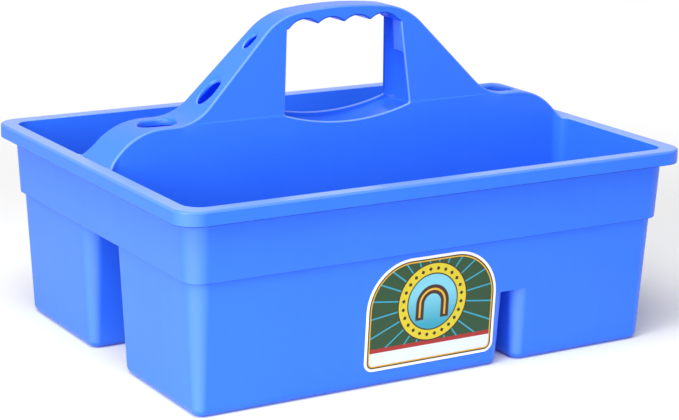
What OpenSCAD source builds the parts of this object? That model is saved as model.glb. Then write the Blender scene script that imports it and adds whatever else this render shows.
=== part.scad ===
// Moulded two-bin grooming box with a carrying handle, made to straddle a rail.
// Millimetres. X runs along the box, Y from front to back, Z up from the floor it stands on.

/* [Rim] */
// Outer length of the rim
rim_length = 520; // [480:1:600]
// Outer width of the rim
rim_width = 400; // [320:1:460]
// Height of the rim's top face above the floor
rim_height = 186; // [170:1:200]
// Overhang of the rim outside the tub wall
rim_reach = 11; // [7:0.5:14]
// Depth of the skirt that hangs from the rim
skirt_depth = 13; // [8:0.5:20]
// Outer corner radius of the rim
rim_corner_r = 22; // [16:1:40]

/* [Tub walls] */
// Thickness of the moulded wall
wall = 3.3; // [2.5:0.1:4]
// Draft of the walls: how far they lean for each millimetre of height
draft = 0.058; // [0.03:0.002:0.07]
// Height of the step between the collar and the bins
step_height = 120; // [100:1:145]
// Width of that step
step_in = 3.4; // [2:0.1:6]
// Radius of the tub's outer corners at the floor; every corner widens with the draft as it rises
tub_corner_r = 9; // [9:0.5:16]
// Radius of the bins' corners beside the slot, at the floor
slot_corner_r = 9; // [9:0.5:16]
// Radius of the bins' bottom edges
foot_r = 8; // [5:0.5:9]
// Radius of the compartments' corners against the divider, at the rim
nook_r = 13; // [12:1:22]

/* [Straddle slot] */
// Width of the slot between the bins, at its roof
slot_width = 54; // [40:1:60]

/* [Partition of the front bin] */
// Distance of the partition from the middle of the box
partition_x = 81; // [-120:1:140]
// Height of the partition's hollow above the floor
partition_height = 70; // [50:1:95]
// Width of the partition's hollow at its top
partition_gap = 10; // [6:0.5:20]
// Radius of the pockets' corners beside the partition, at the floor
partition_corner_r = 9; // [9:0.5:14]

/* [Handle] */
// Height of the shelf at each end of the divider
shelf_height = 215; // [208:1:228]
// Height of the handle's top above the shelf
handle_height = 95; // [80:1:115]
// Length of the shelf, from the rim to the foot of the handle's slope
shelf_length = 88; // [80:1:100]
// Length of the handle's top between its two slopes
brow_length = 127; // [110:1:150]
// Radius of the handle's crown
crown_r = 400; // [300:10:900]
// Radius between the crown and the slopes
shoulder_r = 62; // [40:1:70]
// Radius at the foot of the slopes
slope_foot_r = 50; // [20:1:55]
// Radius where the shelf turns down to the rim
shelf_end_r = 60; // [30:1:65]
// Angle of the shelf's end as it meets the rim
shelf_end_angle = 45; // [35:1:60]
// Draft of the handle's front and back
handle_draft = 0.11; // [0.06:0.005:0.13]

/* [Hand window] */
// Width of each post along the shelf line
post_foot = 90.5; // [70:0.5:100]
// Width of each post at the window's head
post_head = 20.5; // [15:0.5:24]
// Depth of the grip from its crown to the window's head
grip_depth = 18; // [16:0.5:24]
// How far the window's sill dips in the middle
sill_dip = 10.5; // [5:0.5:16]
// Depth of the hollow down each jamb
scoop_depth = 4; // [2:0.5:6]
// Radius of the hollow down each jamb
scoop_r = 14; // [10:0.5:18]
// Height of the flat pad at the top of each jamb
pad_height = 31; // [20:1:45]
// Spacing of the finger rests under the grip
finger_pitch = 28; // [22:0.2:32]
// Radius of a finger rest
finger_r = 21; // [17:0.5:24]
// Height of the finger rests above the window's head
finger_rise = 8; // [7:0.5:12]

/* [Tool holes] */
// Distance of the shelf hole from the foot of the slope
shelf_hole_set = 27; // [24:1:32]
// Length of the shelf hole
shelf_hole_length = 37; // [32:1:44]
// Width of the shelf hole
shelf_hole_width = 30; // [20:1:32]
// Distance of the lower slope hole from the foot of the slope
slope_hole_set = 26; // [18:1:30]
// Diameter of the lower slope hole
slope_hole_d = 22; // [14:0.5:24]
// Distance of the upper slope hole from the foot of the slope
brow_hole_set = 68; // [56:1:69]
// Diameter of the upper slope hole
brow_hole_d = 13; // [8:0.5:14]

/* [Label] */
// Width of the label on the front bin
label_width = 136; // [60:1:150]
// Height of the label
label_height = 100; // [50:1:105]
// Distance of the label's middle from the middle of the box
label_x = -4.5; // [-120:0.5:20]
// Height of the label's middle
label_z = 65; // [60:1:70]
// Thickness of the label
label_thickness = 0.4; // [0.2:0.05:0.8]
// Radius of the label's corners
label_corner_r = 14; // [4:1:20]

/* [Hidden] */
moulding_blue = [0.25, 0.5, 0.98];
label_white = [0.95, 0.95, 0.92];

// Thickness of the thin slices that lofts are stretched between, and how far a cut runs past a face
slice = 0.01;
past = 1;
// The thin bed of adhesive behind the label
label_bed = 0.05;

// Offsets of the wall's outer faces from the rim's edge at the floor, and the half sizes that follow
rim_half = [rim_length, rim_width] / 2;
band_half = rim_half - (rim_reach + draft * rim_height) * [1, 1];
bin_half = band_half - step_in * [1, 1];
slot_half = slot_width / 2 + draft * step_height;

// Plans at floor level as [left, front, right, back]; every plan grows by the draft as it rises
front_plan = [-bin_half.x, -bin_half.y, bin_half.x, -slot_half];
rear_plan = [-bin_half.x, slot_half, bin_half.x, bin_half.y];
gap_half = partition_gap / 2 + draft * partition_height;
left_plan = [-bin_half.x, -bin_half.y, partition_x - gap_half, -slot_half];
right_plan = [partition_x + gap_half, -bin_half.y, bin_half.x, -slot_half];

// Corner radii at floor level as [front left, front right, back right, back left]
tub_r = tub_corner_r;
bay_r = nook_r + wall - draft * rim_height;
front_radii = [tub_r, tub_r, slot_corner_r, slot_corner_r];
rear_radii = [slot_corner_r, slot_corner_r, tub_r, tub_r];
left_radii = [tub_r, partition_corner_r, partition_corner_r, slot_corner_r];
right_radii = [partition_corner_r, tub_r, slot_corner_r, partition_corner_r];
front_bay_radii = [tub_r, tub_r, bay_r, bay_r];
rear_bay_radii = [bay_r, bay_r, tub_r, tub_r];

// The compartments above the step are as wide as the band, and keep the slot side of the bins
front_bay = [-band_half.x, -band_half.y, band_half.x, -slot_half];
rear_bay = [-band_half.x, slot_half, band_half.x, band_half.y];

// Half thickness of the divider and handle at a height
function divider_half(z) = slot_half + wall - draft * z;
function ridge_half(z) = z < shelf_height ? divider_half(z)
    : divider_half(shelf_height) - handle_draft * (z - shelf_height);

// The divider's straight walls run between the corners of the compartments
rim_inner_x = rim_half.x - rim_reach - wall;
flange_z = rim_height - wall;
straight_x = rim_inner_x - nook_r;

// Side view of the handle: a crown, two shoulders, two slopes, two shelves and their ends
handle_top = shelf_height + handle_height;
slope_foot_x = rim_inner_x - shelf_length;
slope_angle = atan2(handle_height, slope_foot_x - brow_length / 2);
slope_reach = slope_foot_x * sin(slope_angle) + shelf_height * cos(slope_angle);
crown_z = handle_top - crown_r;
shoulder_drop = slope_reach - shoulder_r - cos(slope_angle) * crown_z;
shoulder_run = sqrt(pow(crown_r - shoulder_r, 2) - pow(shoulder_drop, 2));
shoulder_x = shoulder_drop * sin(slope_angle) - shoulder_run * cos(slope_angle);
shoulder_z = crown_z + shoulder_drop * cos(slope_angle) + shoulder_run * sin(slope_angle);
crown_angle = atan2(shoulder_x, shoulder_z - crown_z);
foot_z = shelf_height + slope_foot_r;
foot_x = (slope_reach + slope_foot_r - foot_z * cos(slope_angle)) / sin(slope_angle);
end_reach = rim_inner_x * sin(shelf_end_angle) + rim_height * cos(shelf_end_angle);
end_z = shelf_height - shelf_end_r;
end_x = (end_reach - shelf_end_r - end_z * cos(shelf_end_angle)) / sin(shelf_end_angle);

// Points of an arc in the side view, from one angle to another, and steps round a bottom edge
arc_steps = 12;
foot_steps = 6;
function arc(x, z, r, from, to) =
    [for (i = [0:arc_steps]) let (a = from + (to - from) * i / arc_steps) [x + r * cos(a), z + r * sin(a)]];

// Right half of the handle's outline, set in by a distance and ending at the rim
function spine_half(inset) = concat(
    arc(0, crown_z, crown_r - inset, 90, 90 - crown_angle),
    arc(shoulder_x, shoulder_z, shoulder_r - inset, 90 - crown_angle, 90 - slope_angle),
    arc(foot_x, foot_z, slope_foot_r + inset, 270 - slope_angle, 270),
    arc(end_x, end_z, shelf_end_r - inset, 90, 90 - shelf_end_angle),
    [[rim_inner_x, rim_height - inset / cos(shelf_end_angle)], [rim_inner_x, step_height]]);

// The hand window
window_z = handle_top - grip_depth;
sill_half = slope_foot_x - post_foot;
head_half = slope_foot_x - (window_z - shelf_height) / tan(slope_angle) - post_head;
sill_r = (sill_half * sill_half + sill_dip * sill_dip) / (2 * sill_dip);
sill_z = shelf_height - sill_dip + sill_r;
jamb = wall + scoop_depth;
jamb_lean = atan2(sill_half - head_half, window_z - shelf_height);
finger_count = floor(2 * head_half / finger_pitch);

// Centre and radius of corner i of a plan at height z: it stands upright and widens with the draft
function corner(plan, radii, z, i) = let (
        r = radii[i],
        x = i == 0 || i == 3 ? plan[0] + r : plan[2] - r,
        y = i < 2 ? plan[1] + r : plan[3] - r
    ) [x, y, r + draft * z];

// Thin discs at the four corners of a plan at height z, set in by a distance
module corner_discs(plan, radii, z, inset) {
    for (i = [0:3]) let (c = corner(plan, radii, z, i))
        translate([c.x, c.y, z])
            cylinder(h = slice, r = c.z - inset, $fn = 32);
}

// A plan stretched from one height to another with its draft
module drafted(plan, radii, low, high, inset = 0) {
    hull() {
        corner_discs(plan, radii, low, inset);
        corner_discs(plan, radii, high - slice, inset);
    }
}

// Half profile of a rounded bottom edge at a corner of radius r, set in by a distance
function foot_profile(r, inset) = concat(
    [[0, foot_r], [0, inset]],
    [for (i = [0:foot_steps]) let (a = 270 + 90 * i / foot_steps)
        [r - foot_r + (foot_r - inset) * cos(a), foot_r + (foot_r - inset) * sin(a)]]);

// A plan stretched up from the floor, with a rounded bottom edge
module footed(plan, radii, high, inset = 0) {
    hull() {
        for (i = [0:3]) let (c = corner(plan, radii, foot_r, i))
            translate([c.x, c.y, 0])
                rotate_extrude($fn = 32)
                    polygon(foot_profile(c.z, inset));
        corner_discs(plan, radii, high - slice, inset);
    }
}

// A rectangle with round corners, centred
module rounded(size, r) {
    hull()
        for (x = [-1, 1], y = [-1, 1])
            translate([x * (size.x / 2 - r), y * (size.y / 2 - r)])
                circle(r, $fn = 48);
}

// An open pocket with a rounded foot
module pocket(plan, radii, high) {
    difference() {
        footed(plan, radii, high);
        footed(plan, radii, high + past, wall);
    }
}

// A shape drawn in the side view, extruded through the box from front to back
module through_y() {
    rotate([90, 0, 0])
        linear_extrude(rim_width, center = true)
            children();
}

// A shape drawn in the end view, extruded through the box from end to end
module through_x() {
    rotate([90, 0, 90])
        linear_extrude(rim_length, center = true)
            children();
}

// The handle's side view, set in by a distance
module spine(inset = 0) {
    half = spine_half(inset);
    polygon(concat(half, [for (i = [len(half) - 1:-1:1]) [-half[i].x, half[i].y]]));
}

// The end view between the divider's inner faces
module core_section() {
    low = step_height - past;
    top = handle_top + past;
    half = [[ridge_half(low) - wall, low], [ridge_half(shelf_height) - wall, shelf_height],
        [ridge_half(top) - wall, top]];
    polygon(concat(half, [for (i = [2:-1:0]) [-half[i].x, half[i].y]]));
}

// The end view of the handle above the shelf line
module handle_section() {
    top = handle_top + past;
    polygon([[-ridge_half(shelf_height), shelf_height], [-ridge_half(top), top],
        [ridge_half(top), top], [ridge_half(shelf_height), shelf_height]]);
}

// Both compartments above the step
module compartments() {
    drafted(front_bay, front_bay_radii, step_height + wall, shelf_height + past, wall);
    drafted(rear_bay, rear_bay_radii, step_height + wall, shelf_height + past, wall);
}

// The space inside the band, with the divider left out
module band_inside() {
    plan = [-band_half.x, -band_half.y, band_half.x, band_half.y];
    drafted(plan, [tub_r, tub_r, tub_r, tub_r], step_height - past, rim_height, wall);
}

// The hollow inside the divider, open to the slot below
module divider_hollow() {
    intersection() {
        through_x()
            core_section();
        band_inside();
    }
}

// One shape on the left when side is -1, and on the right when it is 1
module on_side(side) {
    mirror([side < 0 ? 1 : 0, 0, 0])
        children();
}

module rim() {
    inner = [2 * rim_inner_x, rim_width - 2 * (rim_reach + wall)];
    color(moulding_blue)
        difference() {
            translate([0, 0, rim_height - skirt_depth])
                linear_extrude(skirt_depth)
                    rounded([rim_length, rim_width], rim_corner_r);
            translate([0, 0, rim_height - skirt_depth - past])
                linear_extrude(skirt_depth - wall + past)
                    rounded([rim_length - 2 * wall, rim_width - 2 * wall], rim_corner_r - wall);
            translate([0, 0, rim_height - skirt_depth - past])
                linear_extrude(skirt_depth + 2 * past)
                    rounded(inner, tub_r + draft * rim_height - wall);
        }
}

module collar() {
    plan = [-band_half.x, -band_half.y, band_half.x, band_half.y];
    color(moulding_blue)
        difference() {
            drafted(plan, [tub_r, tub_r, tub_r, tub_r], step_height, flange_z);
            compartments();
            drafted(front_plan, front_radii, step_height - past, step_height + wall + past, wall);
            drafted(rear_plan, rear_radii, step_height - past, step_height + wall + past, wall);
            divider_hollow();
            translate([-straight_x, -slot_width / 2 - wall, step_height - past])
                cube([2 * straight_x, slot_width + 2 * wall, rim_height]);
        }
}

module front_bin() {
    color(moulding_blue)
        difference() {
            drafted(front_plan, front_radii, partition_height, step_height);
            drafted(front_plan, front_radii, partition_height - past, step_height + past, wall);
        }
}

// The roof of the partition, widened at both ends to close the corners of the pockets
module partition_cap() {
    front_y = -bin_half.y - draft * partition_height + wall;
    back_y = -slot_half + draft * partition_height - wall;
    bar = partition_gap + 2 * wall;
    corner_r = partition_corner_r + draft * partition_height;
    end = partition_gap + 2 * corner_r;
    color(moulding_blue)
        translate([partition_x, front_y, partition_height]) {
            translate([-bar / 2, 0, 0])
                cube([bar, back_y - front_y, wall]);
            for (y = [0, back_y - front_y - corner_r])
                translate([-end / 2, y, 0])
                    cube([end, corner_r, wall]);
        }
}

module left_pocket() {
    color(moulding_blue)
        pocket(left_plan, left_radii, partition_height);
}

module right_pocket() {
    color(moulding_blue)
        pocket(right_plan, right_radii, partition_height);
}

// One end of the rear bin's wall, above the rounded edge of its floor
module rear_wall(side) {
    color(moulding_blue)
        on_side(side)
            intersection() {
                difference() {
                    drafted(rear_plan, rear_radii, foot_r, step_height);
                    drafted(rear_plan, rear_radii, foot_r - past, step_height + past, wall);
                }
                cube([rim_half.x, rim_half.y, step_height + past]);
            }
}

module rear_left() {
    rear_wall(-1);
}

module rear_right() {
    rear_wall(1);
}

module rear_floor() {
    color(moulding_blue)
        pocket(rear_plan, rear_radii, foot_r);
}

// One long wall of the divider, dipping under the hand window
module divider_wall() {
    low = step_height;
    color(moulding_blue)
        difference() {
            intersection() {
                rotate([90, 0, 90])
                    linear_extrude(2 * straight_x, center = true)
                        polygon([[ridge_half(low) - wall, low], [ridge_half(low), low],
                            [divider_half(shelf_height), shelf_height],
                            [divider_half(shelf_height) - wall, shelf_height]]);
                through_y()
                    spine();
            }
            window_dip(sill_r);
        }
}

module divider_front() {
    mirror([0, 1, 0])
        divider_wall();
}

module divider_rear() {
    divider_wall();
}

// The round dip of the window's sill
module window_dip(r) {
    translate([0, 0, sill_z])
        rotate([90, 0, 0])
            cylinder(h = rim_width, r = r, center = true, $fn = 180);
}

// The top of the divider from the rim to the foot of the handle's slope, with its tool hole
module shelf(side) {
    foot_half = divider_half(rim_height) + nook_r;
    color(moulding_blue)
        on_side(side)
            difference() {
                intersection() {
                    through_y()
                        spine();
                    union() {
                        through_x() {
                            core_section();
                            handle_section();
                        }
                        translate([straight_x, -foot_half, flange_z])
                            cube([rim_inner_x - straight_x, 2 * foot_half, handle_top]);
                    }
                    translate([slope_foot_x, -rim_width / 2, flange_z])
                        cube([rim_inner_x - slope_foot_x, rim_width, handle_top]);
                }
                intersection() {
                    through_y()
                        spine(wall);
                    through_x()
                        core_section();
                }
                compartments();
                translate([slope_foot_x + shelf_hole_set, 0, rim_height])
                    shelf_hole();
            }
}

// A vertical tool hole with round ends
module shelf_hole() {
    run = (shelf_hole_length - shelf_hole_width) / 2;
    for (x = [-run, run])
        translate([x, 0, 0])
            cylinder(h = handle_top, d = shelf_hole_width, $fn = 64);
    translate([-run, -shelf_hole_width / 2, 0])
        cube([2 * run, shelf_hole_width, handle_top]);
}

module left_shelf() {
    shelf(-1);
}

module right_shelf() {
    shelf(1);
}

// Side view of a post, with its jamb set in by a distance
module post_side(inset) {
    polygon([[sill_half + inset, shelf_height], [head_half + inset, window_z],
        [slope_foot_x, window_z], [slope_foot_x, shelf_height]]);
}

// The hollow down a jamb, with the flat pad left at its top in front
module jamb_scoop() {
    length = (window_z - shelf_height) / cos(jamb_lean);
    translate([sill_half - (scoop_r - scoop_depth) / cos(jamb_lean), 0, shelf_height])
        rotate([0, -jamb_lean, 0])
            difference() {
                translate([0, 0, -past])
                    cylinder(h = length + 2 * past, r = scoop_r, $fn = 64);
                translate([-scoop_r, -2 * scoop_r, length - pad_height])
                    cube([2 * scoop_r, 2 * scoop_r, pad_height + 2 * past]);
            }
}

// One hollow post of the handle, with its two tool holes down the slope
module post(side) {
    color(moulding_blue)
        on_side(side)
            difference() {
                intersection() {
                    through_y()
                        intersection() {
                            spine();
                            post_side(0);
                        }
                    through_x()
                        handle_section();
                }
                intersection() {
                    through_y()
                        intersection() {
                            spine(wall);
                            post_side(jamb);
                        }
                    through_x()
                        core_section();
                }
                jamb_scoop();
                translate([slope_foot_x - slope_hole_set, 0, shelf_height])
                    cylinder(h = handle_top, d = slope_hole_d, $fn = 64);
                translate([slope_foot_x - brow_hole_set, 0, shelf_height])
                    cylinder(h = handle_top, d = brow_hole_d, $fn = 64);
            }
}

module left_post() {
    post(-1);
}

module right_post() {
    post(1);
}

module sill() {
    low = shelf_height - sill_dip - wall;
    color(moulding_blue)
        intersection() {
            difference() {
                window_dip(sill_r + wall);
                window_dip(sill_r);
            }
            through_x()
                core_section();
            translate([-sill_half - jamb, -rim_width / 2, low])
                cube([2 * (sill_half + jamb), rim_width, shelf_height - low]);
        }
}

module grip() {
    color(moulding_blue)
        difference() {
            intersection() {
                through_y()
                    intersection() {
                        spine();
                        translate([-rim_half.x, window_z])
                            square([rim_length, handle_top]);
                    }
                through_x()
                    handle_section();
            }
            for (i = [0:finger_count - 1])
                translate([(i - (finger_count - 1) / 2) * finger_pitch, 0, window_z + finger_rise - finger_r])
                    rotate([90, 0, 0])
                        cylinder(h = rim_width, r = finger_r, center = true, $fn = 96);
        }
}

module label() {
    lean = atan(draft);
    color(label_white)
        translate([label_x, -bin_half.y - draft * label_z, label_z])
            rotate([90 + lean, 0, 0])
                translate([0, 0, label_bed])
                    linear_extrude(label_thickness)
                        rounded([label_width, label_height], label_corner_r);
}

rim();
collar();
front_bin();
partition_cap();
left_pocket();
right_pocket();
rear_left();
rear_right();
rear_floor();
divider_front();
divider_rear();
left_shelf();
right_shelf();
left_post();
right_post();
sill();
grip();
label();
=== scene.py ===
import bpy
import numpy as np
from mathutils import Matrix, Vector
from mathutils.geometry import tessellate_polygon


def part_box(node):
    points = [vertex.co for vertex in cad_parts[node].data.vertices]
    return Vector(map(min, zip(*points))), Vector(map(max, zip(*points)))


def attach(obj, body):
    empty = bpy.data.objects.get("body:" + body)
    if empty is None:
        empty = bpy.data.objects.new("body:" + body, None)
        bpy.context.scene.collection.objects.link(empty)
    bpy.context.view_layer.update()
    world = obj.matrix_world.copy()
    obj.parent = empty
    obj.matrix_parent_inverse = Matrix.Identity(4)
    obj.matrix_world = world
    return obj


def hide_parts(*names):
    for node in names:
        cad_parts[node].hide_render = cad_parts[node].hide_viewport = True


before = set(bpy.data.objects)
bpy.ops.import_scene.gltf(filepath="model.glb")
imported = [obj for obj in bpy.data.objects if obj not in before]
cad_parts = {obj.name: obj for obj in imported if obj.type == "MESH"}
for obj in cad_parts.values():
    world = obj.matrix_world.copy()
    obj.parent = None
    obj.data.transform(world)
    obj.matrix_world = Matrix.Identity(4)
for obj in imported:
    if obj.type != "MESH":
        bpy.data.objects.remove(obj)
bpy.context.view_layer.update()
scene = bpy.context.scene
scene.view_settings.view_transform = "Standard"

# Camera
# The box is seen from its front left corner, from a little above the rim, through a long lens.
# The angles, the distance and the lens were fitted to the rim, step, floor and handle edges.
picture_width = 679
focal_pixels = 2042.6
sensor_width = 36.0
azimuth, elevation, tilt = np.radians([-31.275, 14.546, 1.039])
eye_distance = 1.9361
slide, lift = 0.006053, 0.002713
aim = np.array([0.0, 0.0, 0.110])
toward = np.array([np.sin(azimuth) * np.cos(elevation), -np.cos(azimuth) * np.cos(elevation),
                   np.sin(elevation)])
level = np.cross([0.0, 0.0, 1.0], toward) / np.cos(elevation)
rise = np.cross(toward, level)
view_right = np.cos(tilt) * level + np.sin(tilt) * rise
view_up = np.cos(tilt) * rise - np.sin(tilt) * level
eye = aim + eye_distance * toward + slide * view_right + lift * view_up


def standing(right, up, back, spot):
    """World matrix of a thing at a spot, from the directions of its own three axes."""
    return Matrix([[*row, part] for row, part in zip(np.stack([right, up, back], 1), spot)] + [[0, 0, 0, 1]])


camera = bpy.data.objects.new("camera", bpy.data.cameras.new("camera"))
camera.data.sensor_width = sensor_width
camera.data.lens = focal_pixels * sensor_width / picture_width
camera.matrix_world = standing(view_right, view_up, toward, eye)
scene.collection.objects.link(camera)
scene.camera = camera

# Moulding finish
# Polyethylene moulded in one shot and coloured right through, a clear mid blue. It is satin, fine-grained and
# a little see-through, cloudy and faintly streaked along its upright draw. Its edges, upright corners and rim
# top are painted paler as a highlight and reflection, and its edges that face down are painted darker as shade.
blue_base = (0.034, 0.198, 0.94)
blue_cloud = (0.046, 0.232, 0.97)
# Of the next two colours, the first is a painted highlight and painted reflection, and the second is a painted
# shade.
blue_highlight = (0.270, 0.450, 1.00)
blue_painted_shade = (0.002, 0.020, 0.300)
blue_glow = (0.000, 0.060, 1.00)
cloud_share = 0.6
glow_share = 0.22


def add_node(tree, kind, values=(), **settings):
    """Adds a shader node, with some of its inputs set by name and its own settings by keyword."""
    node = tree.nodes.new(kind)
    for key, value in settings.items():
        setattr(node, key, value)
    for key, value in dict(values).items():
        node.inputs[key].default_value = value
    return node


def join(tree, *pairs):
    """Links sockets in pairs, each from an output to an input."""
    for start, end in pairs:
        tree.links.new(start, end)


def new_material(name):
    """Gives a fresh material with its node tree, its shader and its Object coordinate socket."""
    material = bpy.data.materials.new(name)
    material.use_nodes = True
    tree = material.node_tree
    place = add_node(tree, "ShaderNodeTexCoord").outputs["Object"]
    return material, tree, tree.nodes["Principled BSDF"], place


moulding, moulding_tree, plastic, on_moulding = new_material("blue_moulding")
plastic.inputs["Sheen Weight"].default_value = 0.05
plastic.inputs["Sheen Roughness"].default_value = 0.4
plastic.inputs["Specular IOR Level"].default_value = 0.27
clouds = add_node(moulding_tree, "ShaderNodeTexNoise", {"Scale": 14.0, "Detail": 3.0})
drawn = add_node(moulding_tree, "ShaderNodeMapping", {"Scale": (110.0, 110.0, 5.0)})
streaks = add_node(moulding_tree, "ShaderNodeTexNoise", {"Scale": 1.0, "Detail": 3.0})
streak_part = add_node(moulding_tree, "ShaderNodeMath", {1: 1 - cloud_share}, operation="MULTIPLY")
mottle = add_node(moulding_tree, "ShaderNodeMath", {1: cloud_share}, operation="MULTIPLY_ADD")
grain = add_node(moulding_tree, "ShaderNodeTexNoise", {"Scale": 900.0, "Detail": 2.0})
# The bend attribute paints light into the colour: a painted highlight and reflection where it is above zero,
# and a painted shade where it is below.
painted_light = add_node(moulding_tree, "ShaderNodeAttribute", attribute_name="bend")
tint = add_node(moulding_tree, "ShaderNodeMix", {"A": (*blue_base, 1), "B": (*blue_cloud, 1)}, data_type="RGBA")
painted_highlight = add_node(moulding_tree, "ShaderNodeMix", {"B": (*blue_highlight, 1)}, data_type="RGBA")
# These nodes darken the colour toward the deep blue where the bend attribute is below zero: a painted shade
# under edges that face down.
painted_shade_share = add_node(moulding_tree, "ShaderNodeMath", {1: -1.0}, operation="MULTIPLY")
painted_shade = add_node(moulding_tree, "ShaderNodeMix", {"B": (*blue_painted_shade, 1)}, data_type="RGBA")
gloss = add_node(moulding_tree, "ShaderNodeMapRange", {"To Min": 0.22, "To Max": 0.26})
bump = add_node(moulding_tree, "ShaderNodeBump", {"Strength": 0.05, "Distance": 0.0004})
glow = add_node(moulding_tree, "ShaderNodeBsdfTranslucent", {"Color": (*blue_glow, 1)})
blend = add_node(moulding_tree, "ShaderNodeMixShader", {"Fac": glow_share})
join(moulding_tree, (on_moulding, clouds.inputs["Vector"]), (on_moulding, grain.inputs["Vector"]),
     (on_moulding, drawn.inputs["Vector"]), (drawn.outputs["Vector"], streaks.inputs["Vector"]),
     (streaks.outputs["Fac"], streak_part.inputs[0]), (clouds.outputs["Fac"], mottle.inputs[0]),
     (streak_part.outputs[0], mottle.inputs[2]), (mottle.outputs[0], tint.inputs["Factor"]),
     (tint.outputs["Result"], painted_highlight.inputs["A"]), (painted_light.outputs["Fac"], painted_highlight.inputs["Factor"]),
     (painted_light.outputs["Fac"], painted_shade_share.inputs[0]), (painted_shade_share.outputs[0], painted_shade.inputs["Factor"]),
     (painted_highlight.outputs["Result"], painted_shade.inputs["A"]), (painted_shade.outputs["Result"], plastic.inputs["Base Color"]),
     (clouds.outputs["Fac"], gloss.inputs["Value"]), (gloss.outputs["Result"], plastic.inputs["Roughness"]),
     (grain.outputs["Fac"], bump.inputs["Height"]), (bump.outputs["Normal"], plastic.inputs["Normal"]),
     (plastic.outputs[0], blend.inputs[1]), (glow.outputs[0], blend.inputs[2]),
     (blend.outputs[0], moulding_tree.nodes["Material Output"].inputs["Surface"]))

# Rim
# A flat flange round the mouth of the tub with a skirt hanging from its edge, moulded with the walls.
# Its inner edge rolls down into the wall, and its outer edge and the skirt's foot are rounded.
rim_low, rim_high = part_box("rim")
rim_half = np.array([rim_high.x, rim_high.y])
rim_z = rim_high.z
skirt_z = rim_low.z
wall = 0.0033
draft = 0.058
rim_reach = 0.0110
rim_corner = 0.022
tub_corner = 0.009
edge_r = 0.0012
brim_r = 0.0022
skirt_r = 0.0008
crook_r = 0.0015
turn_steps = 17
run_steps = 8
round_steps = 5
roll_steps = 7
join_tolerance = 1e-5

# How strongly a painted reflection lightens the flat rim top and a painted highlight lightens the upright
# corners, and the limits that tell a sharp edge, a bulge, a flat top, an upright corner and an edge that faces
# down from the rest.
top_reflection = 0.85
corner_highlight = 0.3
highlight_from = 0.4
convex_from = 5.0
level_from = 0.97
upright_within = 0.2
down_soft, down_shift = 0.1, 0.6


def arc(x, y, radius, start, end, count):
    """Points of a circle about (x, y) from one angle to another, in degrees."""
    angle = np.radians(np.linspace(start, end, count))
    return np.stack([x + radius * np.cos(angle), y + radius * np.sin(angle)], -1)


def ring(low, high, radii, z):
    """Rounded rectangles, one row for each height, counterclockwise from the left end of the front left
    corner. Each corner is a quarter circle of its own radius, and the runs between corners are straight."""
    rows = len(z)
    low, high = np.broadcast_to(low, (rows, 2)), np.broadcast_to(high, (rows, 2))
    radii = np.broadcast_to(radii, (rows, 4))
    middle_x = np.stack([low[:, 0], high[:, 0], high[:, 0], low[:, 0]], 1) + radii * [1, -1, -1, 1]
    middle_y = np.stack([low[:, 1], low[:, 1], high[:, 1], high[:, 1]], 1) + radii * [1, 1, -1, -1]
    angle = np.radians(180 + 90 * np.arange(4)[:, None] + np.linspace(0, 90, turn_steps))
    corner = np.stack([middle_x[..., None] + radii[..., None] * np.cos(angle),
                       middle_y[..., None] + radii[..., None] * np.sin(angle)], -1)
    following = np.roll(corner[:, :, :1], -1, axis=1)
    share = np.linspace(0, 1, run_steps + 2)[1:-1, None]
    run = corner[:, :, -1:] + share * (following - corner[:, :, -1:])
    plan = np.concatenate([corner, run], 2).reshape(rows, -1, 2)
    height = np.broadcast_to(np.asarray(z, float)[:, None, None], plan.shape[:2] + (1,))
    return np.concatenate([plan, height], -1)


def closed(grid):
    """Repeats the first column of a grid at its end."""
    return np.concatenate([grid, grid[:, :1]], 1)


def mirrored(grid, axis):
    """The same sheet on the other side of the box, its columns turned so that it still faces outwards."""
    sign = np.ones(3)
    sign[axis] = -1
    return grid[:, ::-1] * sign


def between(start, end, rows=3):
    """A sheet ruled from one row of points to another."""
    share = np.linspace(0, 1, rows)[:, None, None]
    return start + share * (end - start)


def facing(grid):
    """Unit normals of a grid, from its slopes along columns and rows."""
    normal = np.cross(np.gradient(grid, axis=1, edge_order=2), np.gradient(grid, axis=0, edge_order=2))
    return normal / np.maximum(np.linalg.norm(normal, axis=-1, keepdims=True), 1e-15)


def sharpness(grid, normal):
    """How much light is painted on a grid. Its normals' spread over its points' spread both ways, from round to
    sharp, sets a painted highlight on edges, and edges that face down count below zero, for a painted shade
    under them. The first and last rows are left at nothing, so that a roll's painted highlight ends where the
    roll does. The flat top at the rim's height gets a painted reflection all over, and upright corners get a
    painted highlight most in the middle of their turn, where the normal's level parts are equal."""
    most = np.zeros(grid.shape[:2])
    for axis in (0, 1):
        step, turn = (np.gradient(field, axis=axis) for field in (grid, normal))
        most = np.maximum(most, (step * turn).sum(-1) / np.maximum((step * step).sum(-1), 1e-12))
    convex = most > convex_from
    most[[0, -1]] = 0
    level_x, level_y, up = np.moveaxis(normal, -1, 0)
    edges = np.clip((most * edge_r - highlight_from) / (1 - highlight_from), 0, 1)
    edges = edges * np.clip(up / down_soft + down_shift, -1, 1)
    flat = np.clip((up - level_from) / (1 - level_from), 0, 1) * (np.abs(grid[..., 2] - rim_z) < edge_r)
    turned = 2 * np.abs(level_x * level_y) * (np.abs(up) < upright_within) * convex
    return np.where(edges < 0, edges, np.maximum(edges, np.maximum(top_reflection * flat, corner_highlight * turned)))


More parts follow.
